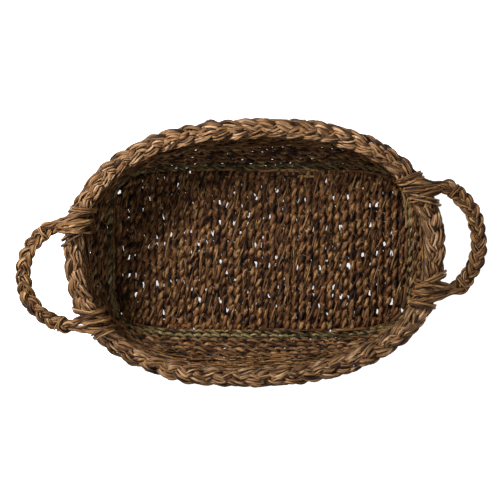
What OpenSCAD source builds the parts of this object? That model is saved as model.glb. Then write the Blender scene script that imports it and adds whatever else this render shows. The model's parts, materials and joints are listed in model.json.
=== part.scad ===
// Oval bread basket of twined seagrass cord with a plaited rim and two plaited handles.
//
// Frame: origin on the surface that the basket stands on, below its middle.
// +X runs along the length, +Y across the width, +Z up.
// The weft cord is twined round thin stakes: columns across the base, then rings up the wall.
// The ends of each handle are hitched over the rim by two hairpin cords, the anchors.
// A handle's eyes ride on the bights of its anchors, which lie on one hinge line beside the rim.

/* [Rim] */
// Length of the rim along the middle of its plait
rim_l = 343; // [300:1:400]
// Width of the rim along the middle of its plait
rim_w = 235; // [200:1:270]
// Height of the middle of the rim plait above the surface
rim_z = 69; // [58:1:84]
// Squareness of the rim outline, where 2 is an ellipse
rim_square = 2.33; // [2:0.01:3]
// Width of the rim plait
rim_plait_w = 19; // [17:0.5:22]
// Diameter of each rim strand
rim_strand_d = 6.3; // [5.5:0.1:7]
// Full turns of the plait in half of the rim
rim_half_turns = 9; // [6:1:12]

/* [Base] */
// Length of the base inside its first wall ring
base_l = 291; // [250:1:320]
// Width of the base inside its first wall ring
base_w = 158; // [130:1:185]
// Squareness of the base outline
base_square = 6; // [4:0.1:8]
// Thickness of each of the two weft layers of the base
weft_layer = 3; // [2.5:0.1:4]
// Distance from one weft column to the next
column_pitch = 7.1; // [6:0.1:9]
// Distance from one base stake to the next
stake_pitch = 9.6; // [8:0.1:14]
// Thickness of the flat base stakes
stake_t = 2; // [1.5:0.1:3]

/* [Wall] */
// Thickness of the wall rings, from the inside face to the outside face
ring_t = 6.6; // [5.5:0.1:7]
// Gap left between neighbouring rings and columns
weft_gap = 0.3; // [0.2:0.05:0.6]
// Number of stakes round the wall
wall_stakes_n = 88; // [64:2:100]
// Diameter of the wall stakes
wall_stake_d = 2.2; // [1.8:0.1:3]

/* [Handles] */
// Distance between the two eyes of a handle
handle_span = 100; // [84:1:120]
// Shift of the left handle to the front, from the middle of its end
left_shift = 13; // [0:0.5:14]
// Shift of the right handle to the rear, from the middle of its end
right_shift = 6; // [0:0.5:14]
// Reach of the left handle from the middle of the rim plait to the middle of its grip
left_reach = 63; // [54:0.5:76]
// Reach of the right handle from the middle of the rim plait to the middle of its grip
right_reach = 51.5; // [48:0.5:76]
// Squareness of the grip outline
handle_square = 2.1; // [2:0.05:2.6]
// Width of the handle plait
handle_plait_w = 15.5; // [13:0.5:18]
// Diameter of each handle strand
handle_strand_d = 5.2; // [4:0.1:6]
// Full turns of the plait along the grip
handle_turns = 4; // [3:1:6]
// Distance from the outer side of the rim plait to the hinge line
hinge_gap = 10.5; // [10:0.5:13]
// Diameter of the anchor cords, which the eyes turn on
anchor_d = 4; // [3.5:0.1:4.5]
// Distance between the two legs of an anchor where they cross the rim
anchor_spread = 19; // [17:1:24]
// Diameter of the cord of the eyes
eye_d = 4.4; // [3.8:0.1:4.6]
// Running clearance between an eye and its anchor
eye_gap = 0.4; // [0.3:0.05:0.6]
// Length of the bindings round the ends of the plait
binding_l = 6; // [4:0.5:9]
// Wall thickness of the bindings
binding_t = 1.8; // [1.2:0.1:2.5]

/* [Hidden] */
RINGS = 9;

CORD_SIDES = 6;          // sides of every swept cord
RING_STEPS = 52;         // stations round one wall ring
TURN_STEPS = 10;         // stations in one full turn of a plait
FINE = 48;               // $fn of the true round pieces
STAKE_W = 3.2;           // width of the flat base stakes
STAKE_BITE = 4;          // how far a base stake runs into the first ring
LINK_L = weft_layer;     // length of the bend between two columns
STRAND_GAP = 0.8;        // height left between two strands where they cross
HEX_FIT = 1 / sin(60);   // makes a six-sided cord reach its full height
HITCH_EASE = 1.08;       // how much wider than the plait an anchor's leg swings round it
EYE_INSET = 1;           // how far the eyes stand inside the ends of the span
STRAND_BITE = 0.8;       // how far the handle strands run into their eye
GRIP_PHASE = 30;         // puts two strands together on the outer side at the ends of a grip
GATHER = 0.4;            // share of their side swing that the strands keep where they meet an eye
GATHER_STEPS = 4;        // stations over which they draw together
EYE_WEAR = 0.3;          // how much of an eye is worn flat where it turns
BIGHT_EASE = 1.6;        // air between an eye and the legs of its anchor, along the hinge line
TUCK = 1;                // how far the ends of an anchor run into the last wall ring
BINDING_GAP = 0.2;       // air between the plait and its bindings, on the diameter
BINDING_SHARE = 0.84;    // where the bindings sit, as a share of the way to a strand's end

ring_pitch = (rim_z - rim_strand_d / 2 - plait_rise(rim_strand_d)) / RINGS;
ring_h = ring_pitch - weft_gap;
ring_z0 = ring_h / 2 + weft_gap;

// Point at parameter angle th on a rounded oval with half sizes a and b and squareness n
function oval(th, a, b, n) =
  let (k = pow(pow(abs(cos(th)), n) + pow(abs(sin(th)), n), -1 / n))
  [a * k * cos(th), b * k * sin(th), 0];

// Half width across Y of a rounded oval at distance x from its middle
function half_width(x, a, b, n) = b * pow(max(0, 1 - pow(abs(x) / a, n)), 1 / n);

// Point on the middle of the wall at height share t, from the first ring (0) to the rim (1)
function wall_point(th, t) =
  let (
    a = (base_l + ring_t) / 2 * (1 - t) + rim_l / 2 * t,
    b = (base_w + ring_t) / 2 * (1 - t) + rim_w / 2 * t,
    n = 1 / ((1 - t) / base_square + t / rim_square)
  )
  oval(th, a, b, n) + [0, 0, ring_z0 + (rim_z - ring_z0) * t];

function ring_share(i) = (i - 1) * ring_pitch / (rim_z - ring_z0);

function unit(v) = v / norm(v);
function rim_x(y) = rim_l / 2 * pow(1 - pow(abs(y) / (rim_w / 2), rim_square), 1 / rim_square);

// Table of [distance along, angle] pairs for even spacing on an outline
function length_table(pts, angles) = [
  for (i = 0, s = 0; i < len(pts); i = i + 1,
       s = s + (i < len(pts) ? norm(pts[i] - pts[i - 1]) : 0)) [s, angles[i]]
];

RIM_ANGLES = [for (i = [0 : 120]) 3 * i];
RIM_TABLE = length_table([for (th = RIM_ANGLES) wall_point(th, 1)], RIM_ANGLES);
RIM_LENGTH = RIM_TABLE[len(RIM_TABLE) - 1][0];

// Side and height swing of a three-strand plait at phase p degrees
function plait(p, side, rise) = [side * sin(p), rise * sin(2 * p)];
// Height swing that leaves air between two crossing strands of diameter d
function plait_rise(d) = (d + STRAND_GAP) / (2 * sin(60));

// One strand of the rim plait, as a closed list of points
function rim_strand_path(i) =
  let (steps = 2 * rim_half_turns * TURN_STEPS)
  [for (j = [0 : steps - 1])
    let (
      th = lookup(RIM_LENGTH * j / steps, RIM_TABLE),
      along = unit(wall_point(th + 0.5, 1) - wall_point(th - 0.5, 1)),
      out = [along[1], -along[0], 0],
      sway = plait(360 * j / TURN_STEPS + 120 * i, (rim_plait_w - rim_strand_d) / 2,
                   plait_rise(rim_strand_d))
    )
    wall_point(th, 1) + out * sway[0] + [0, 0, sway[1]]
  ];

// The frame of a handle: its middle lies on the chord between the two points of the rim that
// its anchors cross, X points away from the basket and Y along the chord. It is worked out as if
// every handle were at the right end, and a left handle is then turned half round.
// side is 1 for the right handle and -1 for the left one, end is 1 or -1 along Y.
function shift(side) = side > 0 ? right_shift : left_shift;
function reach(side) = side > 0 ? right_reach : left_reach;
function crossing_y(side, end) = shift(side) + end * handle_span / 2;
function crossing(side, end) = let (y = crossing_y(side, end)) [rim_x(y), y, rim_z];
function chord(side) = crossing(side, 1) - crossing(side, -1);
function chord_turn(side) = atan2(-chord(side)[0], chord(side)[1]);
function chord_middle(side) = (crossing(side, 1) + crossing(side, -1)) / 2;

hinge_out = rim_plait_w / 2 + hinge_gap;
eye_bore = anchor_d + 2 * eye_gap;
eye_r = (eye_bore + eye_d) / 2 - EYE_WEAR;
function eye_at(side) = norm(chord(side)) / 2 - EYE_INSET;

// Point of a handle's frame, given in the basket's frame
function handle_point(side, p) =
  let (turn = chord_turn(side))
  chord_middle(side) + [
    p[0] * cos(turn) - p[1] * sin(turn),
    p[0] * sin(turn) + p[1] * cos(turn),
    p[2]
  ];

// The grip is part of an oval. Its strands end just outside the hinge line, and its half width
// there puts the ends of the plait beside the eyes.
grip_start = hinge_out + eye_r + eye_d / 2 - STRAND_BITE;
function grip_share(side) = pow(1 - pow(grip_start / reach(side), handle_square), 1 / handle_square);
function grip_half(side) = (eye_at(side) - EYE_INSET) / grip_share(side);
function grip_end(side) = atan2(grip_share(side), grip_start / reach(side));
function grip_point(side, th) = oval(th, reach(side), grip_half(side), handle_square);
function grip_along(side, th) = unit(grip_point(side, th + 0.5) - grip_point(side, th - 0.5));
GRIP_TABLES = [
  for (side = [-1, 1])
    let (angles = [for (i = [-24 : 24]) grip_end(side) * i / 24])
    length_table([for (th = angles) grip_point(side, th)], angles)
];

function gather(steps_to_end) = min(1, GATHER + (1 - GATHER) * steps_to_end / GATHER_STEPS);

function grip_strand_path(side, i) =
  let (
    table = GRIP_TABLES[side > 0 ? 1 : 0],
    length = table[len(table) - 1][0],
    steps = handle_turns * TURN_STEPS
  )
  [for (j = [0 : steps])
    let (
      th = lookup(length * j / steps, table),
      along = grip_along(side, th),
      out = [along[1], -along[0], 0],
      sway = plait(360 * j / TURN_STEPS + 120 * i + GRIP_PHASE, (handle_plait_w - handle_strand_d) / 2,
                   plait_rise(handle_strand_d))
    )
    grip_point(side, th) + out * (sway[0] * gather(min(j, steps - j))) + [0, 0, sway[1]]
  ];

// Leg of an anchor that hugs the rim plait at distance s along the rim. It starts in the inner
// face of the last wall ring. The angle then runs from below the inside of the plait, over its
// top, to its outer side.
LEG_ANGLES = [205, 180, 155, 125, 95, 65, 40];
function anchor_leg(s) =
  let (
    th = lookup((s + RIM_LENGTH) % RIM_LENGTH, RIM_TABLE),
    along = unit(wall_point(th + 0.5, 1) - wall_point(th - 0.5, 1)),
    out = [along[1], -along[0], 0],
    half_wide = (rim_plait_w + anchor_d) / 2 * HITCH_EASE,
    half_high = (rim_strand_d + anchor_d) / 2 * HITCH_EASE + plait_rise(rim_strand_d)
  )
  concat(
    [wall_point(th, ring_share(RINGS)) - out * (ring_t / 2 - TUCK)],
    [for (a = LEG_ANGLES) wall_point(th, 1) + out * (half_wide * cos(a)) + [0, 0, half_high * sin(a)]]
  );

// Distance along the rim from its right end to the rim point whose Y is y, for y above 0
function rim_distance(y) =
  lookup(y, [for (row = RIM_TABLE) if (row[1] <= 90) [wall_point(row[1], 1)[1], row[0]]]);

// Hairpin path of one anchor of a handle
function anchor_path(side, end) =
  let (
    y = crossing_y(side, end),
    s = (y > 0 ? 1 : -1) * rim_distance(abs(y)),
    bight = (eye_d + anchor_d) / 2 + BIGHT_EASE,
    leg_near = anchor_leg(s - end * anchor_spread / 2),
    leg_far = anchor_leg(s + end * anchor_spread / 2)
  )
  concat(
    leg_near,
    [for (v = [-1 : 0.5 : 1]) handle_point(side, [hinge_out, end * (eye_at(side) + v * bight), 0])],
    [for (k = [len(leg_far) - 1 : -1 : 0]) leg_far[k]]
  );

// Sweeps a cord along a list of points; wide is its size across the path and high the other.
// A closed path joins up with itself, and its section stays upright. The section of an open
// path is upright at the start, and is carried along without twisting.
module cord(path, wide, high, closed) {
  n = len(path);
  m = CORD_SIDES;
  prev = function (i) closed ? (i + n - 1) % n : max(i - 1, 0);
  next = function (i) closed ? (i + 1) % n : min(i + 1, n - 1);
  along = [for (i = [0 : n - 1]) unit(path[next(i)] - path[prev(i)])];
  upright = [for (a = along) cross(a, [0, 0, 1])];
  carried = [
    for (i = 0, side = unit(upright[0]); i < n; i = i + 1,
         side = i < n ? unit(side - along[i] * (side * along[i])) : side) side
  ];
  points = [
    for (i = [0 : n - 1])
      let (side = closed ? unit(upright[i]) : carried[i], top = cross(side, along[i]))
      for (j = [0 : m - 1])
        path[i] + side * (wide / 2 * cos(360 * j / m)) + top * (high / 2 * sin(360 * j / m))
  ];
  last = closed ? n - 1 : n - 2;
  skin = [
    for (i = [0 : last])
      for (j = [0 : m - 1])
        [i * m + j, i * m + (j + 1) % m, next(i) * m + (j + 1) % m, next(i) * m + j]
  ];
  caps = closed ? [] : [[for (j = [m - 1 : -1 : 0]) j], [for (j = [0 : m - 1]) (n - 1) * m + j]];
  polyhedron(points, concat(skin, caps));
}

// Straight round rod from p to q
module rod(p, q, d) {
  v = q - p;
  translate(p)
    rotate([0, acos(v[2] / norm(v)), atan2(v[1], v[0])])
      cylinder(h = norm(v), d = d, $fn = FINE / 2);
}

// Places its children in the frame of one handle: side 1 is the right one, -1 the left one
module at_handle(side) {
  rotate([0, 0, side > 0 ? 0 : 180])
    translate(chord_middle(side))
      rotate([0, 0, chord_turn(side)])
        children();
}

// One weft layer: columns across the base, each turning into the next at alternate ends
module weft_layer_2d() {
  half_n = round(base_l / column_pitch / 2 - 0.5);
  pitch = (base_l - 2 * weft_gap) / (2 * half_n + 1);
  w = pitch - weft_gap;
  reach = function (i)
    half_width((abs(i) + 0.5) * pitch, base_l / 2, base_w / 2, base_square) - weft_gap;
  for (i = [-half_n : half_n])
    translate([i * pitch - w / 2, -reach(i)])
      square([w, 2 * reach(i)]);
  for (i = [-half_n : half_n - 1])
    let (y = min(reach(i), reach(i + 1)), up = (i + half_n) % 2 == 0)
    translate([i * pitch, up ? y - LINK_L : -y])
      square([pitch, LINK_L]);
}

module base_lower_weft() {
  color("#6b4a2b") linear_extrude(weft_layer) weft_layer_2d();
}

module base_upper_weft() {
  color("#7d5834") translate([0, 0, weft_layer + stake_t]) linear_extrude(weft_layer) weft_layer_2d();
}

module base_stakes() {
  half_n = floor((base_w / 2 - STAKE_W) / stake_pitch);
  color("#5a3f26")
    for (i = [-half_n : half_n])
      let (l = half_width(i * stake_pitch, base_w / 2, base_l / 2, base_square) + STAKE_BITE)
      translate([-l, i * stake_pitch - STAKE_W / 2, weft_layer])
        cube([2 * l, STAKE_W, stake_t]);
}

module wall_stakes() {
  color("#5a3f26")
    for (i = [0 : wall_stakes_n - 1])
      let (th = 360 * (i + 0.5) / wall_stakes_n)
      rod(wall_point(th, 0), wall_point(th, 1) - [0, 0, rim_strand_d / 2], wall_stake_d);
}

module wall_ring(i) {
  color(i < RINGS - 1 ? "#755231" : "#8d6a42")
    cord([for (j = [0 : RING_STEPS - 1]) wall_point(360 * j / RING_STEPS, ring_share(i))],
         ring_t, ring_h * HEX_FIT, true);
}

module rim_strand(i) {
  color("#8f6b43") cord(rim_strand_path(i), rim_strand_d, rim_strand_d, true);
}

module handle_strand(side, i) {
  color("#94703f") at_handle(side)
    cord(grip_strand_path(side, i), handle_strand_d, handle_strand_d, false);
}

// Hairpin cord over the rim: its legs are tucked inside, and an eye turns on its bight
module anchor(side, end) {
  color("#87643b")
    rotate([0, 0, side > 0 ? 0 : 180])
      cord(anchor_path(side, end), anchor_d, anchor_d, false);
}

// Ring of cord at one end of a handle that turns on the bight of its anchor. Its inside is worn
// to a short round bore.
module handle_eye(side, end) {
  color("#87643b") at_handle(side)
    translate([hinge_out, end * eye_at(side), 0])
      rotate([90, 0, 0])
        difference() {
          rotate_extrude($fn = FINE)
            translate([eye_r, 0])
              circle(d = eye_d, $fn = FINE / 2);
          translate([0, 0, -eye_d])
            cylinder(h = 2 * eye_d, d = eye_bore, $fn = FINE);
        }
}

// Cord bound round the plait just outside an eye
module handle_binding(side, end) {
  th = end * grip_end(side) * BINDING_SHARE;
  along = grip_along(side, th);
  color("#7a5934") at_handle(side)
    translate(grip_point(side, th) - along * binding_l / 2)
      rotate([0, 90, atan2(along[1], along[0])])
        difference() {
          cylinder(h = binding_l, d = handle_plait_w + 2 * binding_t, $fn = FINE);
          translate([0, 0, -1])
            cylinder(h = binding_l + 2, d = handle_plait_w + BINDING_GAP, $fn = FINE);
        }
}

base_lower_weft();
base_upper_weft();
base_stakes();
wall_stakes();
for (i = [1 : RINGS])
  wall_ring(i);
for (i = [1 : 3])
  rim_strand(i);
anchor(-1, -1);  // left_rear_anchor
anchor(-1, 1);  // left_front_anchor
anchor(1, 1);  // right_rear_anchor
anchor(1, -1);  // right_front_anchor
for (i = [1 : 3])
  handle_strand(-1, i);
handle_eye(-1, -1);  // left_handle_rear_eye
handle_eye(-1, 1);  // left_handle_front_eye
handle_binding(-1, -1);  // left_handle_rear_binding
handle_binding(-1, 1);  // left_handle_front_binding
for (i = [1 : 3])
  handle_strand(1, i);
handle_eye(1, 1);  // right_handle_rear_eye
handle_eye(1, -1);  // right_handle_front_eye
handle_binding(1, 1);  // right_handle_rear_binding
handle_binding(1, -1);  // right_handle_front_binding
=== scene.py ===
import json
from math import cos, pi, radians, sin, tan

import bpy
import numpy as np
from mathutils import Matrix, Vector


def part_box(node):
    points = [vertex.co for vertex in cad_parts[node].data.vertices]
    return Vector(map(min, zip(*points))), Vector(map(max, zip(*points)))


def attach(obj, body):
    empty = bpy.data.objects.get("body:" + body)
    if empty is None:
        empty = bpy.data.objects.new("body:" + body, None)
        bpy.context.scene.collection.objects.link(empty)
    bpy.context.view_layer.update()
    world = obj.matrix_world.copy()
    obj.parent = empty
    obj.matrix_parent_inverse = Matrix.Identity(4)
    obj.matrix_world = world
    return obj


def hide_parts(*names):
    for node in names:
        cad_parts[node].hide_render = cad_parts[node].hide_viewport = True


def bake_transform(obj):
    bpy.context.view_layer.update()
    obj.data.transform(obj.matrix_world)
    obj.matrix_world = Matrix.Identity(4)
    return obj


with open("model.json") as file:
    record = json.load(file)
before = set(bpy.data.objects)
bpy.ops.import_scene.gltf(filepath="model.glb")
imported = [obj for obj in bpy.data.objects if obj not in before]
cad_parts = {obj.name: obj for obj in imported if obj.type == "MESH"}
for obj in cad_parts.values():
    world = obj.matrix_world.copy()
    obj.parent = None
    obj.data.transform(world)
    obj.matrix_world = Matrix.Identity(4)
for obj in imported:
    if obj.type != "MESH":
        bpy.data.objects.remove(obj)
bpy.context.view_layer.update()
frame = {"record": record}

# ---------------------------------------------------------------- Studio
# A white shadowless table, one big soft box high on the rear left, a weak fill from the front right
# and pale surroundings. The camera hangs almost straight above the basket.
MM = 0.001
CAMERA_TILT_X = radians(6.4)
CAMERA_TILT_Y = radians(2.2)
CAMERA_ROLL = radians(2.3)
CAMERA_DISTANCE = 1.3
VIEW_WIDTH = 473 * MM
VIEW_SHIFT = Vector((-1.6 * MM, 3.0 * MM, 0))

lo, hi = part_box("rim_strand_1")
rim_z = (lo[2] + hi[2]) / 2
camera_data = bpy.data.cameras.new("camera")
camera_data.lens = camera_data.sensor_width * CAMERA_DISTANCE / VIEW_WIDTH
camera = bpy.data.objects.new("camera", camera_data)
bpy.context.scene.collection.objects.link(camera)
aim = Vector((0, 0, rim_z)) + VIEW_SHIFT
away = Vector((tan(CAMERA_TILT_X), tan(CAMERA_TILT_Y), 1)).normalized()
camera.location = aim + away * CAMERA_DISTANCE
camera_up = Vector((sin(CAMERA_ROLL), cos(CAMERA_ROLL), 0))
camera_right = camera_up.cross(away).normalized()
camera_up = away.cross(camera_right)
camera.rotation_euler = Matrix((camera_right, camera_up, away)).transposed().to_euler()
bpy.context.scene.camera = camera
bpy.context.scene.view_settings.view_transform = "Standard"
bpy.context.scene.view_settings.look = "None"


def soft_box(name, place, size, watts, tint):
    light = bpy.data.lights.new(name, "AREA")
    light.shape = "DISK"
    light.size = size
    light.energy = watts
    light.color = tint
    lamp = bpy.data.objects.new(name, light)
    lamp.location = place
    lamp.rotation_euler = (aim - Vector(place)).to_track_quat("-Z", "Y").to_euler()
    bpy.context.scene.collection.objects.link(lamp)


soft_box("key_soft_box", (-0.6, 0.5, 0.64), 0.42, 15, (1.0, 0.98, 0.96))
soft_box("fill_soft_box", (0.9, -0.6, 1.1), 1.2, 4.0, (1.0, 0.97, 0.94))

world = bpy.data.worlds.new("studio")
world.use_nodes = True
world.node_tree.nodes["Background"].inputs["Color"].default_value = (1, 1, 1, 1)
world.node_tree.nodes["Background"].inputs["Strength"].default_value = 0.26
bpy.context.scene.world = world


def linear(hex_colour):
    """An sRGB hex colour as linear red, green and blue with full alpha."""
    parts = [int(hex_colour[i:i + 2], 16) / 255 for i in (1, 3, 5)]
    parts = [c / 12.92 if c <= 0.04045 else ((c + 0.055) / 1.055) ** 2.4 for c in parts]
    return (*parts, 1.0)


def add_node(tree, kind, settings=None, links=None):
    """Adds one node. Settings name its properties or inputs, links its inputs' sources."""
    node = tree.nodes.new(kind)
    for key, value in (settings or {}).items():
        if isinstance(key, str) and hasattr(node, key):
            setattr(node, key, value)
        else:
            node.inputs[key].default_value = value
    for key, source in (links or {}).items():
        tree.links.new(source, node.inputs[key])
    return node


table_finish = bpy.data.materials.new("white_acrylic_light_table")
table_finish.use_nodes = True
table_shader = table_finish.node_tree.nodes["Principled BSDF"]
table_shader.inputs["Base Color"].default_value = linear("#f4f4f4")
table_shader.inputs["Roughness"].default_value = 0.6
table_shader.inputs["Emission Color"].default_value = (1, 1, 1, 1)
table_shader.inputs["Emission Strength"].default_value = 0.85
bpy.ops.object.select_all(action="DESELECT")
bpy.ops.mesh.primitive_plane_add(size=12, location=(0, 0, -0.0006))
table = bpy.context.object
table.name = "table"
table.data.materials.append(table_finish)

# ---------------------------------------------------------------- Base weft
# Two-ply seagrass cord twined back and forth over the stakes of the base in close columns.
# Each ply is a soft twist of a few dry blades; it shows as a slanting grain over every stake.
rng = np.random.default_rng(20)
SQUARE_BASE = 6.0
SQUARE_RIM = 2.33
# the base sits a little askew under the rim, as the hand-bent wall leaves it
BASE_TURN = radians(-2.3)


def unit(rows):
    return rows / np.linalg.norm(rows, axis=-1, keepdims=True)


def wander(s, wavelength, amount, loop=None):
    """A smooth random wave along s; loop is the length after which it has to repeat."""
    total = np.zeros_like(s)
    for share in (1.0, 0.63, 0.37):
        turns = 1 / (wavelength * share)
        if loop:
            turns = max(1, round(turns * loop)) / loop
        total += share * np.sin(2 * pi * (turns * s + rng.random()))
    return amount * total / 1.3


def lengths(path, closed=False):
    """Distance of each point along path, and the length of the whole loop if it is closed."""
    s = np.concatenate([[0], np.cumsum(np.linalg.norm(np.diff(path, axis=0), axis=1))])
    loop = s[-1] + np.linalg.norm(path[0] - path[-1]) if closed else None
    return s, loop


def oval(th, square):
    """Radius at angle th of an oval of half size 1; the larger square is, the squarer it gets."""
    return (np.abs(np.cos(th)) ** square + np.abs(np.sin(th)) ** square) ** (-1 / square)


def along_path(path, closed):
    if closed:
        return unit(np.roll(path, -1, axis=0) - np.roll(path, 1, axis=0))
    return unit(np.gradient(path, axis=0))


class Cords:
    """Collects swept plies, blades and hairs, and makes one mesh of them."""

    def __init__(self):
        self.points = []
        self.faces = []
        self.grain = []
        self.tint = []
        self.count = 0

    def add(self, path, up, wide, thick, sides=8, closed=False, roll=0.0, lobes=0, groove=0.0,
            twist=0.0, shade=None, taper=0):
        """Sweeps a section of half sizes wide and thick along path; up points off the surface.
        shade picks the tone, for the whole length or for each point of it."""
        n = len(path)
        along = along_path(path, closed)
        up = unit(up - along * np.sum(up * along, axis=1, keepdims=True))
        across = np.cross(up, along)
        s = lengths(path)[0]
        angle = 2 * pi * np.arange(sides) / sides
        size = np.ones(n)
        if taper:
            ramp = np.minimum(np.arange(n), np.arange(n)[::-1]) / taper
            size = np.clip(np.sqrt(ramp), 0.25, 1)
        turn = np.zeros(n) + roll
        section_a = np.cos(angle)[None, :] * (np.zeros(n) + wide)[:, None] * size[:, None]
        section_b = np.sin(angle)[None, :] * (np.zeros(n) + thick)[:, None] * size[:, None]
        if lobes:
            phase = lobes * angle[None, :] + (twist * s + 6 * rng.random())[:, None]
            ridge = 1 + groove * np.cos(phase)
            section_a = section_a * ridge
            section_b = section_b * ridge
        c, d = np.cos(turn)[:, None], np.sin(turn)[:, None]
        side = section_a * c - section_b * d
        rise = section_a * d + section_b * c
        points = path[:, None, :] + side[..., None] * across[:, None, :] + rise[..., None] * up[:, None, :]
        ring = self.count + sides * np.arange(n if closed else n - 1)[:, None]
        nxt = self.count + (sides * ((np.arange(n) + 1) % n))[: len(ring), None]
        j = np.arange(sides)[None, :]
        k = (np.arange(sides)[None, :] + 1) % sides
        quads = np.stack([ring + j, ring + k, nxt + k, nxt + j], axis=-1).reshape(-1, 4)
        self.faces.append(quads)
        if not closed:
            last = self.count + sides * (n - 1)
            for step in range(sides // 2 - 1):
                a, b = (sides - step) % sides, sides - step - 1
                cap = [a, b, step + 2, step + 1] if step else [0, sides - 1, 2, 1]
                self.faces.append(np.array([[self.count + v for v in cap]]))
                self.faces.append(np.array([[last + v for v in cap[::-1]]]))
        self.points.append(points.reshape(-1, 3))
        grain = np.empty((n, sides, 3))
        grain[..., 0] = (s + rng.random() * 3)[:, None]
        # the place round the section; its sine also sets the painted shade on the flanks in dry_seagrass
        grain[..., 1] = np.cos(angle)[None, :]
        grain[..., 2] = np.sin(angle)[None, :]
        self.grain.append(grain.reshape(-1, 3))
        tint = np.empty((n, sides, 3))
        tint[..., 0] = rng.random() if shade is None else np.broadcast_to(shade, n)[:, None]
        tint[..., 1] = rng.random()
        tint[..., 2] = rng.random()
        self.tint.append(tint.reshape(-1, 3))
        self.count += n * sides

    def piece(self, name, material):
        points = np.concatenate(self.points)
        turn = BASE_TURN * np.clip(1 - points[:, 2] / rim_z, 0, 1)
        askew_x = points[:, 0] * np.cos(turn) - points[:, 1] * np.sin(turn)
        askew_y = points[:, 0] * np.sin(turn) + points[:, 1] * np.cos(turn)
        # the lowest cords are pressed nearly flat on the table
        high = np.where(points[:, 2] < 0, 0.15 * points[:, 2], points[:, 2])
        points = np.stack([askew_x, askew_y, high], axis=1).astype(np.float32)
        faces = np.concatenate(self.faces).astype(np.int32)
        mesh = bpy.data.meshes.new(name)
        mesh.vertices.add(len(points))
        mesh.vertices.foreach_set("co", points.ravel())
        mesh.loops.add(faces.size)
        mesh.loops.foreach_set("vertex_index", faces.ravel())
        mesh.polygons.add(len(faces))
        mesh.polygons.foreach_set("loop_start", np.arange(0, faces.size, 4, dtype=np.int32))
        mesh.update(calc_edges=True)
        mesh.validate()
        for label, rows in (("grain", self.grain), ("tint", self.tint)):
            layer = mesh.attributes.new(label, "FLOAT_VECTOR", "POINT")
            layer.data.foreach_set("vector", np.concatenate(rows).astype(np.float32).ravel())
        mesh.shade_smooth()
        mesh.materials.append(material)
        made = bpy.data.objects.new(name, mesh)
        bpy.context.scene.collection.objects.link(made)
        return made


def dry_seagrass(name, colours, streak_mm, patch_mm, roughness, darkest, bump):
    """Dry seagrass: thin flat blades, dull satin on the smooth side, with fine length-wise veins.
    Tones change from blade to blade and along each blade, with dark rotted patches."""
    material = bpy.data.materials.new(name)
    material.use_nodes = True
    tree = material.node_tree
    shader = tree.nodes["Principled BSDF"]
    grain = add_node(tree, "ShaderNodeAttribute", {"attribute_name": "grain"})
    tint = add_node(tree, "ShaderNodeAttribute", {"attribute_name": "tint"})
    tints = add_node(tree, "ShaderNodeSeparateXYZ", links={0: tint.outputs["Vector"]})
    seed = add_node(tree, "ShaderNodeMath", {"operation": "MULTIPLY", 1: 41.0}, {0: tints.outputs["Y"]})

    def pattern(along_mm, around, detail):
        place = add_node(tree, "ShaderNodeVectorMath",
                         {"operation": "MULTIPLY", 1: (1000 / along_mm, around, around)},
                         {0: grain.outputs["Vector"]})
        return add_node(tree, "ShaderNodeTexNoise",
                        {"noise_dimensions": "4D", "Scale": 1.0, "Detail": detail, "Roughness": 0.6},
                        {"Vector": place.outputs[0], "W": seed.outputs[0]})

    patch = pattern(patch_mm, 0.9, 2.0)
    streak = pattern(streak_mm, 4.5, 3.0)
    pick = add_node(tree, "ShaderNodeMath", {"operation": "MULTIPLY_ADD", 1: 1.5, 2: -0.75},
                    {0: patch.outputs["Fac"]})
    pick = add_node(tree, "ShaderNodeMath", {"operation": "ADD", "use_clamp": True},
                    {0: pick.outputs[0], 1: tints.outputs["X"]})
    ramp = add_node(tree, "ShaderNodeValToRGB", links={"Fac": pick.outputs[0]})
    stops = ramp.color_ramp.elements
    while len(stops) < len(colours):
        stops.new(0.5)
    for i, colour in enumerate(colours):
        stops[i].position = i / (len(colours) - 1)
        stops[i].color = linear(colour)
    vein = add_node(tree, "ShaderNodeMapRange", {"From Min": 0.32, "From Max": 0.68, "To Min": darkest,
                                                 "To Max": 1.25}, {"Value": streak.outputs["Fac"]})
    # painted shade: the flanks of a ply or blade, pressed against the next one, are darkened in the colour
    # where shade falls between the plies
    rows = add_node(tree, "ShaderNodeSeparateXYZ", links={0: grain.outputs["Vector"]})
    face = add_node(tree, "ShaderNodeMath", {"operation": "ABSOLUTE"}, {0: rows.outputs["Z"]})
    painted_flank_shade = add_node(tree, "ShaderNodeMapRange", {"From Min": 0.08, "From Max": 0.85, "To Min": 0.13,
                                                 "To Max": 1.0}, {"Value": face.outputs[0]})
    # the veins are the blade's own streaks; the flank factor is painted shade
    veins_and_painted_flank_shade = add_node(tree, "ShaderNodeMath", {"operation": "MULTIPLY"},
                    {0: vein.outputs["Result"], 1: painted_flank_shade.outputs["Result"]})
    toned = add_node(tree, "ShaderNodeVectorMath", {"operation": "SCALE"},
                     {0: ramp.outputs["Color"], "Scale": veins_and_painted_flank_shade.outputs[0]})
    tree.links.new(toned.outputs[0], shader.inputs["Base Color"])
    gloss = add_node(tree, "ShaderNodeMapRange", {"To Min": roughness - 0.12, "To Max": roughness + 0.14},
                     {"Value": streak.outputs["Fac"]})
    tree.links.new(gloss.outputs["Result"], shader.inputs["Roughness"])
    shader.inputs["IOR"].default_value = 1.4
    shader.inputs["Specular IOR Level"].default_value = 0.28
    relief = add_node(tree, "ShaderNodeBump", {"Strength": bump, "Distance": 0.0006},
                      {"Height": streak.outputs["Fac"]})
    tree.links.new(relief.outputs["Normal"], shader.inputs["Normal"])
    return material


base_seagrass = dry_seagrass(
    "twisted_seagrass_of_base",
    ["#170b04", "#402410", "#5c391d", "#7c522d", "#633d21", "#aa8354", "#54331a"],
    streak_mm=18, patch_mm=14, roughness=0.55, darkest=0.6, bump=0.5)

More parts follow.
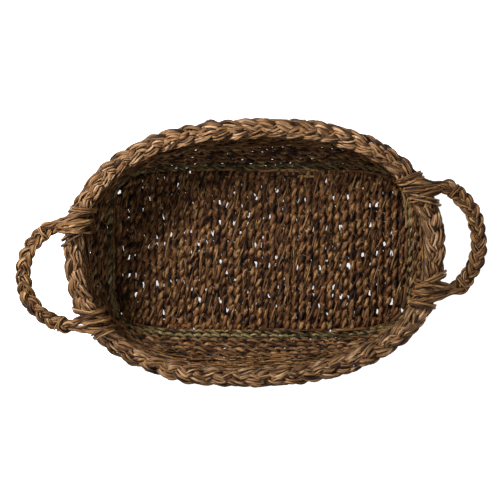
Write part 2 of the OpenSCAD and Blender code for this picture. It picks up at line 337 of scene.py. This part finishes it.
COLUMN_PITCH = 7.08 * MM
STAKE_PITCH = 9.6 * MM
PLY_STEP = 1.35 * MM
base_lo, base_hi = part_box("base_lower_weft")
upper_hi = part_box("base_upper_weft")[1]
base_half_l = base_hi[0]
base_half_w = base_hi[1]
base_mid_z = (base_lo[2] + upper_hi[2]) / 2
LATERAL_SWING = 1.25 * MM
HEIGHT_SWING = 1.85 * MM
PLY_WIDE = 2.0 * MM
PLY_THICK = 1.7 * MM


def twine(cords, path, up, phase, closed, swing, lift, wide, thick, sides=8):
    """Two plies that change sides at every stake; phase is a half turn per stake."""
    n = len(path)
    along = along_path(path, closed)
    up = unit(up - along * np.sum(up * along, axis=1, keepdims=True))
    across = np.cross(up, along)
    s, loop = lengths(path, closed)
    for ply in (0, 1):
        turn = phase + pi * ply
        ease = 1 + wander(s, 24 * MM, 0.16, loop)
        side = swing * np.cos(turn) + wander(s, 30 * MM, 0.25 * MM, loop)
        rise = lift * np.sin(turn) + wander(s, 17 * MM, 0.18 * MM, loop)
        route = path + across * side[:, None] + up * rise[:, None]
        spread = wide * ease * (1 + 0.18 * np.abs(np.sin(turn)))
        tone = 0.5 + wander(s, 19 * MM, 0.42, loop) + wander(s, 60 * MM, 0.2, loop)
        cords.add(route, up, spread, thick * (2 - ease), sides, closed, lobes=3, groove=0.1,
                  twist=2 * pi / (9 * MM), shade=np.clip(tone, 0, 1), taper=0 if closed else 3)


# the stakes don't lie quite straight: how far they bend, and over what run
STAKE_BEND = 3 * MM
BEND_RUN = 31 * MM


def base_reach(half, share):
    """How far the base reaches across at a share of its half size the other way."""
    return half * (1 - share ** SQUARE_BASE) ** (1 / SQUARE_BASE)


base_weft = Cords()
column_count = round(base_half_l / COLUMN_PITCH - 0.5)
for column in range(-column_count, column_count + 1):
    x = column * COLUMN_PITCH
    edge = min(abs(x) + COLUMN_PITCH / 2, base_half_l * 0.999) / base_half_l
    reach = base_reach(base_half_w, edge) + rng.uniform(0.2, 2.6) * MM
    y = np.linspace(-reach, reach, max(8, int(2 * reach / PLY_STEP)))
    bend = wander(y, 55 * MM, 0.55 * MM)
    sag = wander(y, 70 * MM, 0.35 * MM)
    line = np.stack([x + bend, y, base_mid_z + sag], axis=1)
    wave = STAKE_BEND * np.sin(x / BEND_RUN) + rng.uniform(-2.2, 2.2) * MM
    phase = pi * (y + wave + wander(y, 60 * MM, 0.9 * MM)) / STAKE_PITCH + pi * rng.integers(2)
    twine(base_weft, line, np.tile([0, 0, 1.0], (len(y), 1)), phase, False,
          LATERAL_SWING, HEIGHT_SWING, PLY_WIDE, PLY_THICK)
base_piece = base_weft.piece("base_twined_weft", base_seagrass)
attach(base_piece, "basket")
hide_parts("base_lower_weft", "base_upper_weft")

# between the columns: dark loose blades at mid height, broken by narrow slits
SKY = np.array([0, 0, 1.0])
base_filler = Cords()
for border in range(-column_count - 1, column_count + 1):
    x = (border + 0.5) * COLUMN_PITCH
    edge = min(abs(x), base_half_l * 0.999) / base_half_l
    reach = base_reach(base_half_w, edge) + 2.5 * MM
    y = -reach
    while y < reach - 6 * MM:
        stop = min(reach, y + rng.uniform(10, 45) * MM)
        run = np.linspace(y, stop, max(5, int((stop - y) / (4 * MM))))
        line = np.stack([x + wander(run, 22 * MM, 0.5 * MM), run,
                         base_mid_z + wander(run, 15 * MM, 0.7 * MM)], axis=1)
        base_filler.add(line, np.tile(SKY, (len(run), 1)), rng.uniform(1.4, 2.1) * MM, 0.55 * MM, 6,
                        taper=1, roll=wander(run, 30 * MM, 0.25))
        y = stop + (rng.uniform(3, 8) * MM if rng.random() < 0.6 else -2 * MM)
# where the base meets the wall: a few cords' worth of loose blades follow the first ring
EDGE_LANES = 6
for end in (-1, 1):
    for lane in range(EDGE_LANES):
        th = np.linspace(-pi / 2, pi / 2, 150) + (0 if end > 0 else pi)
        k = oval(th, SQUARE_BASE)
        inset = (lane * 1.5 - 1.8) * MM
        line = np.stack([(base_half_l - inset) * k * np.cos(th), (base_half_w - inset) * k * np.sin(th),
                         base_mid_z + rng.uniform(-1.5, 1.5) * MM + 0 * th], axis=1)
        line[:, 2] += wander(th, 0.5, 0.8 * MM)
        for piece_of_line in np.array_split(line, 7):
            if rng.random() < 0.88:
                base_filler.add(piece_of_line, np.tile(SKY, (len(piece_of_line), 1)),
                                rng.uniform(1.5, 2.3) * MM, 0.6 * MM, 6, taper=1)
filler_piece = base_filler.piece("base_filler_blades", base_seagrass)
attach(filler_piece, "basket")

# split blades of the cord that have worked loose and lie on the columns
LOOSE_COUNT = 260
loose = Cords()
for _ in range(LOOSE_COUNT):
    size = rng.uniform(9, 26) * MM
    t = np.linspace(-0.5, 0.5, 7)
    spot = np.array([rng.uniform(-0.97, 0.97) * base_half_l, rng.uniform(-0.95, 0.95) * base_half_w, 0])
    lean = rng.normal(0.27, 0.12)
    line = spot + np.outer(t * size, unit(np.array([lean, 1, 0])))
    line[:, 0] += (0.25 - t ** 2) * rng.uniform(-0.12, 0.12) * size
    line[:, 2] = base_mid_z + rng.uniform(3.2, 4.0) * MM - (2 * t) ** 4 * 1.2 * MM
    loose.add(line, np.tile(SKY, (7, 1)), rng.uniform(0.5, 1.15) * MM, rng.uniform(0.3, 0.55) * MM, 6,
              taper=2, roll=rng.uniform(-0.5, 0.5))
loose_piece = loose.piece("base_loose_blades", base_seagrass)
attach(loose_piece, "basket")

# ---------------------------------------------------------------- Stakes
# Thin dry stalks: flat ones lie along the base between the plies, and round ones stand up
# through the wall. The weft hides them, except where it opens a little.
stake_seagrass = dry_seagrass("split_dry_stalk", ["#140b05", "#2b1a0d", "#452c17", "#573a20"],
                              streak_mm=40, patch_mm=60, roughness=0.6, darkest=0.6, bump=0.4)

base_stalks = Cords()
row_count = round((base_half_w - 4 * MM) / STAKE_PITCH - 0.4)
for row in range(-row_count, row_count + 1):
    y = row * STAKE_PITCH
    reach = base_reach(base_half_l, abs(y) / base_half_w) + 3 * MM
    x = np.linspace(-reach, reach, 60)
    line = np.stack([x, y - STAKE_BEND * np.sin(x / BEND_RUN) + wander(x, 90 * MM, 0.6 * MM),
                     np.full_like(x, base_mid_z)], axis=1)
    base_stalks.add(line, np.tile([0, 0, 1.0], (60, 1)), 2.1 * MM, 0.8 * MM, 6, taper=1)
base_stalk_piece = base_stalks.piece("base_stalks", stake_seagrass)
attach(base_stalk_piece, "basket")
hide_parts("base_stakes")

# ---------------------------------------------------------------- Wall
# Rings of the same twined cord, laid one on the other up the flaring wall. The corners of the
# base are nearly square, and the outline rounds off towards the rim.
wall_seagrass = dry_seagrass(
    "twisted_seagrass_of_wall", ["#1c0e06", "#4a2c14", "#6b4524", "#87603a", "#66482a", "#a37c52"],
    streak_mm=22, patch_mm=18, roughness=0.55, darkest=0.45, bump=0.6)
fresh_seagrass = dry_seagrass(
    "greenish_seagrass_of_foot", ["#231a0d", "#4b3d22", "#6d5f3b", "#877a50", "#6e5028", "#a09468"],
    streak_mm=22, patch_mm=30, roughness=0.55, darkest=0.45, bump=0.6)
RING_COUNT = 9
WALL_STALKS = 88
RING_HALF = 3.3 * MM
PLAIT_HALF_W = 9.5 * MM

rim_his = [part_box(f"rim_strand_{i}")[1] for i in (1, 2, 3)]
rim_half_l = max(h[0] for h in rim_his) - PLAIT_HALF_W
rim_half_w = max(h[1] for h in rim_his) - PLAIT_HALF_W
ring_boxes = [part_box(f"wall_ring_{i}") for i in range(1, RING_COUNT + 1)]
wall_levels = [((lo[2] + hi[2]) / 2, hi[0] - RING_HALF, hi[1] - RING_HALF) for lo, hi in ring_boxes]
wall_levels.append((rim_z, rim_half_l, rim_half_w))
LEVEL_Z, LEVEL_L, LEVEL_W = np.array(wall_levels).T


def wall_outline(z, n):
    """n points evenly spaced round the middle of the wall at height z, and the way outwards."""
    share = (z - LEVEL_Z[0]) / (LEVEL_Z[-1] - LEVEL_Z[0])
    a = np.interp(z, LEVEL_Z, LEVEL_L)
    b = np.interp(z, LEVEL_Z, LEVEL_W)
    square = 1 / ((1 - share) / SQUARE_BASE + share / SQUARE_RIM)
    th = np.linspace(0, 2 * pi, 1441)
    k = oval(th, square)
    dense = np.stack([a * k * np.cos(th), b * k * np.sin(th), np.full_like(th, z)], axis=1)
    s = lengths(dense)[0]
    at = s[-1] * np.arange(n) / n
    points = np.stack([np.interp(at, s, dense[:, i]) for i in range(3)], axis=1)
    along = along_path(points, True)
    out = np.stack([along[:, 1], -along[:, 0], np.zeros(n)], axis=1)
    return points, out, s[-1]


WALL_LEAN = 0.42
WALL_SWING = 1.45 * MM
WALL_LIFT = 1.9 * MM
WALL_PLY_WIDE = 2.15 * MM
WALL_PLY_THICK = 1.6 * MM
BORDER_RINGS = (8, 9)
for ring in range(1, BORDER_RINGS[0]):
    z = LEVEL_Z[ring - 1]
    length = wall_outline(z, 8)[2]
    steps = int(length / PLY_STEP)
    points, out, length = wall_outline(z, steps)
    s = length * np.arange(steps) / steps
    points = points + out * wander(s, 80 * MM, 0.5 * MM, length)[:, None]
    points[:, 2] += wander(s, 45 * MM, 0.85 * MM, length)
    face = unit(out - np.array([0, 0, WALL_LEAN]))
    phase = pi * WALL_STALKS * s / length + wander(s, 120 * MM, 0.5, length) + pi * rng.random()
    weft = Cords()
    twine(weft, points, -face, phase, True, WALL_SWING, WALL_LIFT, WALL_PLY_WIDE, WALL_PLY_THICK)
    ring_piece = weft.piece(f"wall_twining_{ring}", fresh_seagrass if ring < 3 else wall_seagrass)
    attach(ring_piece, "basket")
    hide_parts(f"wall_ring_{ring}")

# each stalk runs through its place on four levels: foot, two rings on the way, and rim
STALK_KNOTS = (0, 0.33, 0.66, 1)
STALK_TOP = 0.97
wall_height = LEVEL_Z[-1] - LEVEL_Z[0]
stalk_levels = [wall_outline(LEVEL_Z[0] + wall_height * share, WALL_STALKS) for share in STALK_KNOTS]
foot_out = stalk_levels[0][1]
wall_stalks = Cords()
for i in range(WALL_STALKS):
    share = np.linspace(0, STALK_TOP, 14)
    knots = np.stack([level[0][i] for level in stalk_levels])
    line = np.stack([np.interp(share, STALK_KNOTS, knots[:, k]) for k in range(3)], axis=1)
    wall_stalks.add(line, np.tile(foot_out[i], (14, 1)), 1.4 * MM, 0.9 * MM, 6, taper=1)
stalk_piece = wall_stalks.piece("wall_stalks", stake_seagrass)
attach(stalk_piece, "basket")
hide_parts("wall_stakes")

# split blades that lie loose along the rings, mostly on the inside
WALL_BLADES = 220
wall_blades = Cords()
LAY_POINTS = 900
LAY_STEPS = 24
LAY_LEVELS = [wall_outline(z, LAY_POINTS)[:2] for z in np.linspace(LEVEL_Z[0], rim_z, LAY_STEPS + 1)]


def lay_along_wall(cords, level_span, inside, half_width, drift, longest):
    """One loose blade that follows the wall, level_span picks its height as a share of the wall."""
    level = rng.uniform(*level_span) * LAY_STEPS
    points, out = LAY_LEVELS[int(level)]
    count = rng.integers(10, longest)
    index = (rng.integers(LAY_POINTS) + np.arange(0, count, 2)) % LAY_POINTS
    t = np.linspace(0, 1, len(index))
    line = points[index].copy()
    face = unit(out[index] - np.array([0, 0, WALL_LEAN]))
    line[:, 2] += (level - int(level)) * wall_height / LAY_STEPS + drift * (t - 0.5)
    depth = 3.0 * MM + rng.uniform(0, 0.9) * MM - (2 * t - 1) ** 4 * 0.8 * MM
    way = -1 if inside else 1
    line += face * (way * depth)[:, None]
    if rng.random() < 0.5:
        line = line[::-1]
    cords.add(line, way * face, half_width, 0.45 * half_width, 4, taper=2, roll=rng.uniform(-0.5, 0.5))


for i in range(WALL_BLADES):
    lay_along_wall(wall_blades, (0.02, 0.8), i % 4 > 0, rng.uniform(0.5, 1.0) * MM,
                   rng.normal(0, 2.4) * MM, 24)
blade_piece = wall_blades.piece("wall_loose_blades", wall_seagrass)
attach(blade_piece, "basket")

# ---------------------------------------------------------------- Border below the rim
# The last rings are laid with thinner, looser cord, and the ends of the stakes are bent over and
# tucked behind it. They are cut off short inside, which leaves a dense, hairy band.
border_seagrass = dry_seagrass(
    "loose_seagrass_of_border", ["#2f1a0b", "#6b4522", "#8e6236", "#ab7d4c", "#805a33", "#c49867"],
    streak_mm=18, patch_mm=20, roughness=0.6, darkest=0.5, bump=0.7)
BORDER_CORD_OFFSET = 1.75 * MM
BORDER_TWIST_LENGTH = 13 * MM
BORDER_SWING = 0.85 * MM
BORDER_LIFT = 1.5 * MM
BORDER_PLY_WIDE = 1.2 * MM
BORDER_PLY_THICK = 1.3 * MM
for ring in BORDER_RINGS:
    weft = Cords()
    middle = LEVEL_Z[ring - 1]
    for offset in (-BORDER_CORD_OFFSET, BORDER_CORD_OFFSET):
        z = middle + offset
        length = wall_outline(z, 8)[2]
        steps = int(length / PLY_STEP)
        points, out, length = wall_outline(z, steps)
        s = length * np.arange(steps) / steps
        points = points + out * wander(s, 70 * MM, 0.5 * MM, length)[:, None]
        points[:, 2] += wander(s, 50 * MM, 0.5 * MM, length)
        face = unit(out - np.array([0, 0, WALL_LEAN]))
        turns = round(length / BORDER_TWIST_LENGTH)
        phase = 2 * pi * turns * s / length + wander(s, 90 * MM, 0.6, length)
        twine(weft, points, -face, phase, True, BORDER_SWING, BORDER_LIFT, BORDER_PLY_WIDE,
              BORDER_PLY_THICK, sides=6)
    ring_piece = weft.piece(f"border_twining_{ring}", border_seagrass)
    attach(ring_piece, "basket")
    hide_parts(f"wall_ring_{ring}")

TAIL_COUNT = 2100
tails = Cords()
for i in range(TAIL_COUNT):
    lay_along_wall(tails, (0.62 if i % 2 else 0.8, 1.0), i % 5 > 0, rng.uniform(0.5, 1.4) * MM,
                   rng.normal(0, 7) * MM, 30)
tail_piece = tails.piece("tucked_cord_ends", border_seagrass)
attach(tail_piece, "basket")

# ---------------------------------------------------------------- Rim plait
# Three fat strands, each a flat handful of blades, plaited along the top edge. The blades lie
# side by side and fan out a little over every crossing.
rim_seagrass = dry_seagrass(
    "plaited_seagrass_blades", ["#2f1c0f", "#664527", "#8c643f", "#ab8057", "#7b5a3a", "#c7a078"],
    streak_mm=30, patch_mm=30, roughness=0.5, darkest=0.55, bump=0.6)
RIM_TURNS = 18
RIM_STEP = 2.2 * MM
RIM_SWING = 3.8 * MM
RIM_LIFT = 2.9 * MM
RIM_STRAND_HALF = (5.4 * MM, 2.4 * MM)
RIM_BLADES = 13
RIM_BLADE_HALF = 1.5 * MM


def plait_route(path, up, turn, side_swing, height_swing, closed):
    """Middle line of one strand of a flat three-strand plait; turn is its phase along path."""
    along = along_path(path, closed)
    up = unit(up - along * np.sum(up * along, axis=1, keepdims=True))
    across = np.cross(up, along)
    side = side_swing * np.sin(turn)
    rise = height_swing * np.sin(2 * turn)
    return path + across * side[:, None] + up * rise[:, None]


def lay_blades(cords, route, up, half_w, half_t, blades, blade_half, closed):
    """Lays a flat handful of blades side by side along a strand's middle line."""
    heading = along_path(route, closed)
    top = unit(up - heading * np.sum(up * heading, axis=1, keepdims=True))
    flank = np.cross(top, heading)
    s, loop = lengths(route, closed)
    for i in range(blades):
        seat = 2 * pi * i / blades + wander(s, 90 * MM, 0.35, loop)
        side = (half_w - 0.6 * blade_half) * np.cos(seat) + wander(s, 34 * MM, 0.16 * half_w, loop)
        rise = (half_t - 0.4 * blade_half) * np.sin(seat) + wander(s, 30 * MM, 0.22 * half_t, loop)
        line = route + flank * side[:, None] + top * rise[:, None]
        tone = rng.uniform(0.12, 0.85) + wander(s, 40 * MM, 0.3, loop)
        width = blade_half * rng.uniform(0.75, 1.3) * (1 + wander(s, 28 * MM, 0.25, loop))
        cords.add(line, top, width, blade_half * rng.uniform(0.42, 0.6), 6,
                  closed, roll=0.4 * np.cos(seat) + wander(s, 50 * MM, 0.45, loop),
                  shade=np.clip(tone, 0, 1), taper=0 if closed else 2)


for strand in (1, 2, 3):
    length = wall_outline(rim_z, 8)[2]
    steps = int(1.12 * length / RIM_STEP)
    points, out, length = wall_outline(rim_z, steps)
    s = np.arange(steps) / steps
    turn = 2 * pi * (RIM_TURNS * s + strand / 3)
    points[:, 2] += wander(length * s, 150 * MM, 0.5 * MM, length)
    upright = np.tile([0, 0, 1.0], (steps, 1))
    turn = turn + wander(length * s, 110 * MM, 0.16, length)
    # the path runs round with the inside on its left, so its flank points inwards
    route = plait_route(points, upright, turn + pi, RIM_SWING, RIM_LIFT, True)
    bundle = Cords()
    lay_blades(bundle, route, upright, *RIM_STRAND_HALF, RIM_BLADES, RIM_BLADE_HALF, True)
    strand_piece = bundle.piece(f"rim_plait_strand_{strand}", rim_seagrass)
    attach(strand_piece, "basket")
    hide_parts(f"rim_strand_{strand}")

# ---------------------------------------------------------------- Handles
# Each handle is a thinner plait of three strands. Its ends fan out over the rim, go down the inside and are
# tucked into the border.
HINGE_OUT = 20 * MM
# reach and half width of each grip's oval: the two handles are not made quite alike
GRIPS = {"left": (63 * MM, 52.5 * MM), "right": (51.5 * MM, 54.7 * MM)}
GRIP_START = 25.9 * MM
GRIP_SQUARE = 2.1
GRIP_TURNS = 4
GRIP_SWING = 4.5 * MM
GRIP_LIFT = 2.7 * MM
GRIP_STRAND_HALF = (3.3 * MM, 2.3 * MM)
GRIP_BLADES = 9
GRIP_BLADE_HALF = 1.25 * MM
BEND_START = 13 * MM
BEND_END = 27 * MM
LEG_SPREAD = 8 * MM
# out from the middle of the rim, share of the spread, height above the middle of the rim
LEG_SHAPE = [(17, 0.4, 2.5), (11.5, 0.55, 6.8), (5.5, 0.8, 9.2), (-1.5, 1.0, 9.8), (-8, 1.05, 7.6),
             (-12, 1.1, 2.6), (-13.2, 1.15, -4), (-12, 1.2, -11)]


# bindings sit this many points from the ends of the grip line; a few points either side give its run
BINDING_AT = 12
BINDING_RUN = 4
BINDING_TURNS = 1.6
# seat beside the end of the plait in mm, lean, and distance from the middle of the rim in mm
HITCHES = ((11.5, 0.3, 11.2), (-10, -0.45, 10.6))


def smooth(rows, width):
    """Rounds a dense list of points; width is in points."""
    reach = int(3 * width)
    weights = np.exp(-0.5 * (np.arange(-reach, reach + 1) / width) ** 2)
    padded = np.pad(rows, ((reach, reach), (0, 0)), mode="reflect", reflect_type="odd")
    weights = weights / weights.sum()
    return np.stack([np.convolve(column, weights, "valid") for column in padded.T], axis=1)


def even(rows, step):
    s = lengths(rows[:, :3])[0]
    at = np.linspace(0, s[-1], max(4, int(s[-1] / step)))
    return np.stack([np.interp(at, s, rows[:, i]) for i in range(rows.shape[1])], axis=1)


class HandleFrame:
    """Turns out, along and up distances of one handle into places on the basket."""

    def __init__(self, side):
        joint = next(j for j in frame["record"]["behaviour"]["joints"] if j["child"] == f"{side}_handle")
        axis = np.array(joint["axis"])
        self.along = -axis / np.linalg.norm(axis)
        self.out = np.array([self.along[1], -self.along[0], 0])
        self.middle = np.array(joint["pos_m"]) - HINGE_OUT * self.out
        rim = wall_outline(rim_z, 720)[0] - self.middle
        rim = rim[rim @ self.out > -60 * MM]
        order = np.argsort(rim @ self.along)
        self.rim_v = (rim @ self.along)[order]
        self.rim_u = (rim @ self.out)[order]

    def place(self, u, v, z):
        u, v, z = np.broadcast_arrays(u, v, z)
        flat = self.middle + u[..., None] * self.out + v[..., None] * self.along
        return flat + z[..., None] * SKY

    def rim_at(self, v):
        return np.interp(v, self.rim_v, self.rim_u)


def grip_line(side, count):
    reach, half = GRIPS[side]
    share = (1 - (GRIP_START / reach) ** GRIP_SQUARE) ** (1 / GRIP_SQUARE)
    end = np.arctan2(share, GRIP_START / reach)
    th = np.linspace(-end, end, 400)
    k = oval(th, GRIP_SQUARE)
    line = np.stack([reach * k * np.cos(th), half * k * np.sin(th), 0 * th], axis=1)
    return even(line, np.linalg.norm(np.diff(line, axis=0), axis=1).sum() / count)


handle_seagrass = dry_seagrass(
    "plaited_seagrass_of_handle", ["#2a180b", "#5d3d20", "#835c35", "#a1764a", "#74532f", "#bd9464"],
    streak_mm=30, patch_mm=30, roughness=0.5, darkest=0.55, bump=0.6)

for side in ("left", "right"):
    at = HandleFrame(side)
    grip = grip_line(side, 150)
    end_v = grip[-1, 1]
    upright = np.tile([0, 0, 1.0], (len(grip), 1))
    for strand in (1, 2, 3):
        turn = 2 * pi * (GRIP_TURNS * np.arange(len(grip)) / len(grip) + strand / 3) + radians(30)
        turn = turn + wander(np.arange(len(grip)) * MM, 60 * MM, 0.25)
        drawn = np.minimum(1, 0.85 + np.minimum(np.arange(len(grip)), np.arange(len(grip))[::-1]) / 24)
        middle = plait_route(grip, upright, turn + pi, GRIP_SWING * drawn, GRIP_LIFT, False)
        rows = [np.concatenate([at.place(*middle.T), upright], axis=1)]
        for end, index in ((1, -1), (-1, 0)):
            fan = (strand - 2) * LEG_SPREAD * end
            leg = []
            for out_mm, share, high_mm in LEG_SHAPE:
                v = end * end_v + fan * share
                u = at.rim_at(v) + out_mm * MM
                up = at.place(u, v, high_mm * MM) - at.place(at.rim_at(v), v, -2 * MM)
                leg.append([*at.place(u, v, high_mm * MM), *(up / np.linalg.norm(up))])
            leg = even(np.array(leg), 1 * MM)
            rows = rows + [leg] if end > 0 else [leg[::-1]] + rows
        route = smooth(even(np.concatenate(rows), 1 * MM), 2.2)
        route = even(route, 1.8 * MM)
        bundle = Cords()
        lay_blades(bundle, route[:, :3], route[:, 3:], *GRIP_STRAND_HALF, GRIP_BLADES, GRIP_BLADE_HALF, False)
        strand_piece = bundle.piece(f"{side}_handle_plait_strand_{strand}", handle_seagrass)
        tuple(at.place(BEND_START, 0, 0))
        tuple(at.place(BEND_END, 0, 0))
        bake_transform(strand_piece)
        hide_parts(f"{side}_handle_strand_{strand}")

    # two blades wound round each end of the plait, and cords hitched round the rim beside its legs
    for end, place in zip((1, -1), ("rear", "front") if side == "right" else ("front", "rear")):
        wrap = Cords()
        spot = grip[-1 - BINDING_AT] if end > 0 else grip[BINDING_AT]
        before = grip[-1 - BINDING_AT - BINDING_RUN] if end > 0 else grip[BINDING_AT - BINDING_RUN]
        after = grip[-1 - BINDING_AT + BINDING_RUN] if end > 0 else grip[BINDING_AT + BINDING_RUN]
        run = unit(after - before)
        flank = np.array([run[1], -run[0], 0])
        for blade in range(2):
            turn = np.linspace(0, 2 * pi * BINDING_TURNS, 50) + 2.2 * blade
            ride = (turn / (2 * pi) - BINDING_TURNS / 2) * 2.6 * MM + wander(turn, 4, 0.5 * MM)
            coil = spot + run * ride[:, None] + flank * (7.4 * MM * np.cos(turn))[:, None]
            coil[:, 2] += 5.8 * MM * np.sin(turn)
            up = coil - spot - run * ride[:, None]
            up = up[:, :1] * at.out + up[:, 1:2] * at.along + up[:, 2:] * SKY
            wrap.add(at.place(*coil.T), up, 0.8 * MM, 0.45 * MM, 6, taper=2)
        wrap_piece = wrap.piece(f"{side}_{place}_binding", handle_seagrass)
        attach(wrap_piece, f"{side}_handle")
        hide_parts(f"{side}_handle_{place}_binding", f"{side}_handle_{place}_eye")

        # spare cord wound once round the rim on each side of the legs, pulled tight and askew
        hitch = Cords()
        for seat, lean, reach in HITCHES:
            for blade in range(4):
                turn = np.linspace(rng.uniform(-0.45, -0.1) * pi, rng.uniform(1.0, 1.4) * pi, 34)
                lay = seat + 1.4 * (blade - 1.5) + rng.normal(0, 0.9) + 11 * lean * np.cos(turn)
                v = end * (end_v + lay * MM)
                high = (reach + 0.5 * (blade % 2) + wander(turn, 2.5, 0.5)) * MM
                line = at.place(at.rim_at(v) + 1.15 * high * np.cos(turn), v, high * np.sin(turn))
                up = line - at.place(at.rim_at(v), v, 0 * v)
                hitch.add(line, up, rng.uniform(0.9, 1.3) * MM, 0.7 * MM, 6, taper=2)
        hitch_piece = hitch.piece(f"{side}_{place}_hitch", handle_seagrass)
        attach(hitch_piece, "basket")
        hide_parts(f"{side}_{place}_anchor")

# ---------------------------------------------------------------- Stray fibres
# Dry hairs and split blades that stand off the cord all over, most of them on the border and
# the rim. They are only a fraction of a millimetre thick.
FIBRE_COUNT = 900
fibres = Cords()
for i in range(FIBRE_COUNT):
    size = rng.uniform(5, 15) * MM
    bow = rng.uniform(-0.4, 0.4) * size
    t = np.linspace(-0.5, 0.5, 6)
    if i % 3 == 0:
        spot = np.array([rng.uniform(-0.92, 0.92) * base_half_l, rng.uniform(-0.9, 0.9) * base_half_w,
                         base_mid_z + rng.uniform(3, 4.5) * MM])
        lay = np.array([rng.normal(0, 0.6), 1, rng.normal(0, 0.08)])
        off = np.array([0, 0, 1.0])
    else:
        lowest, over_rim = (LEVEL_Z[1], 6 * MM) if i % 3 == 1 else (LEVEL_Z[6], 7 * MM)
        z = rng.uniform(lowest, rim_z + over_rim)
        points, out = LAY_LEVELS[min(LAY_STEPS, int(LAY_STEPS * (z - LEVEL_Z[0]) / wall_height))]
        index = rng.integers(LAY_POINTS)
        inwards = -1 if rng.random() < 0.75 else 1
        depth = 9 * MM if z > rim_z - 6 * MM else 4 * MM
        spot = points[index] + out[index] * inwards * depth
        spot[2] = z
        lay = np.cross(out[index], [0, 0, 1.0]) + np.array([0, 0, rng.normal(0, 0.45)])
        off = out[index] * inwards
    lay = unit(lay)
    cross = np.cross(lay, off)
    line = spot + np.outer(t * size, lay) + np.outer((0.25 - t ** 2) * bow, cross)
    line += np.outer((0.5 + t) ** 2 * rng.uniform(0, 1.8) * MM, off)
    fibres.add(line, np.tile(off, (6, 1)), rng.uniform(0.14, 0.32) * MM, rng.uniform(0.1, 0.2) * MM, 4)
fibre_piece = fibres.piece("stray_fibres", border_seagrass)
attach(fibre_piece, "basket")
